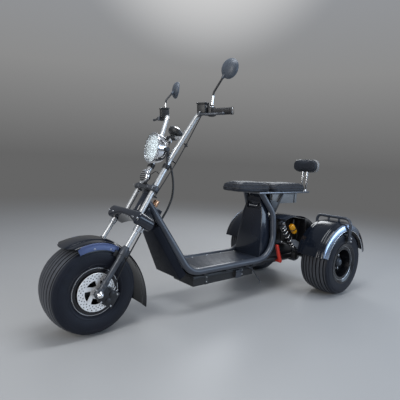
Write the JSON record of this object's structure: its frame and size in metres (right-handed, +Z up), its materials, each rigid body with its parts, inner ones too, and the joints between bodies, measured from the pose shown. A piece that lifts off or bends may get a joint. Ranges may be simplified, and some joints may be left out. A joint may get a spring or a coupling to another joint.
{
  "type": "electric tricycle",
  "caption": "Chopper-style electric tricycle with fat tyres: raked fork steers in a low tubular frame with a flat footboard, seat for two, backrest and shrouded rear axle.",
  "frame": {"origin": "on the ground under the middle of the whole vehicle", "axes": "+X forward, +Y to the rider's left, +Z up"},
  "size_m": [2.1663, 0.976, 1.4218],
  "materials": {
    "tyre_rubber": "moulded",
    "black_alloy": "satin",
    "disc_steel": "ground",
    "bright_steel": "plated",
    "dark_alloy": "satin",
    "chrome": "polished",
    "grip_rubber": "moulded",
    "black_plastic": "moulded",
    "black_steel": "satin",
    "gloss_black": "gloss",
    "floor_mat": "moulded",
    "mirror_glass": "polished",
    "lamp_lens": "clear",
    "lock_brass": "worn",
    "pan_steel": "plated",
    "seat_leather": "sewn",
    "grey_case": "satin",
    "amber_lens": "clear",
    "red_lens": "clear",
    "red_sleeve": "moulded"
  },
  "bodies": {
    "frame": {"head_tube": "black_steel", "rail_left": "gloss_black", "rail_right": "gloss_black", "front_fairing": "gloss_black", "leg_shield": "gloss_black", "floor_panel": "floor_mat", "floor_frame": "black_steel", "battery_box": "black_steel", "seat_riser": "gloss_black", "ignition_lock": "lock_brass", "seat_pan": "pan_steel", "seat_struts": "black_steel", "rider_seat": "seat_leather", "passenger_seat": "seat_leather", "under_seat_box": "grey_case", "backrest_posts": "chrome", "backrest_pad": "seat_leather", "trailing_arms": "black_steel", "rear_shocks": "black_steel", "rear_springs": "bright_steel", "shock_tube": "black_steel", "rear_axle_housing": "dark_alloy", "motor": "dark_alloy", "rear_mudguards": "gloss_black", "mudguard_hoops": "gloss_black", "rear_cover": "gloss_black", "indicators": "amber_lens", "tail_lamps": "red_lens", "red_lever": "red_sleeve", "wiring_loom": "black_plastic"},
    "fork": {"front_axle": "bright_steel", "fork_lowers": "dark_alloy", "stanchions": "chrome", "lower_crown": "dark_alloy", "upper_crown": "dark_alloy", "handlebar": "chrome", "grips": "grip_rubber", "switch_pods": "black_plastic", "brake_levers": "black_steel", "mirror_stems": "black_steel", "mirror_shells": "gloss_black", "mirror_glasses": "mirror_glass", "headlight_shell": "chrome", "headlight_lens": "lamp_lens", "lamp_bracket": "black_steel", "horn": "chrome", "instrument": "black_plastic", "front_mudguard": "gloss_black", "mudguard_stays": "black_steel", "brake_caliper": "dark_alloy", "brake_hose": "grip_rubber"},
    "front_wheel": {"front_tyre": "tyre_rubber", "front_rim": "black_alloy", "front_disc": "disc_steel"},
    "rear_wheel_left": {"rear_tyre_left": "tyre_rubber", "rear_rim_left": "black_alloy"},
    "rear_wheel_right": {"rear_tyre_right": "tyre_rubber", "rear_rim_right": "black_alloy"}
  },
  "joints": [
    {"name": "steering", "type": "hinge", "parent": "frame", "child": "fork", "pos_m": [0.55095, 0, 0.63537], "axis": [-0.515, 0, 0.8572], "range_deg": [-40, 40]},
    {"name": "front_wheel_spin", "type": "hinge", "parent": "fork", "child": "front_wheel", "pos_m": [0.85819, 0, 0.225], "axis": [0, 1, 0], "continuous": true},
    {"name": "rear_wheel_left_spin", "type": "hinge", "parent": "frame", "child": "rear_wheel_left", "pos_m": [-0.80181, 0.35, 0.225], "axis": [0, 1, 0], "continuous": true},
    {"name": "rear_wheel_right_spin", "type": "hinge", "parent": "frame", "child": "rear_wheel_right", "pos_m": [-0.80181, -0.35, 0.225], "axis": [0, 1, 0], "continuous": true}
  ]
}
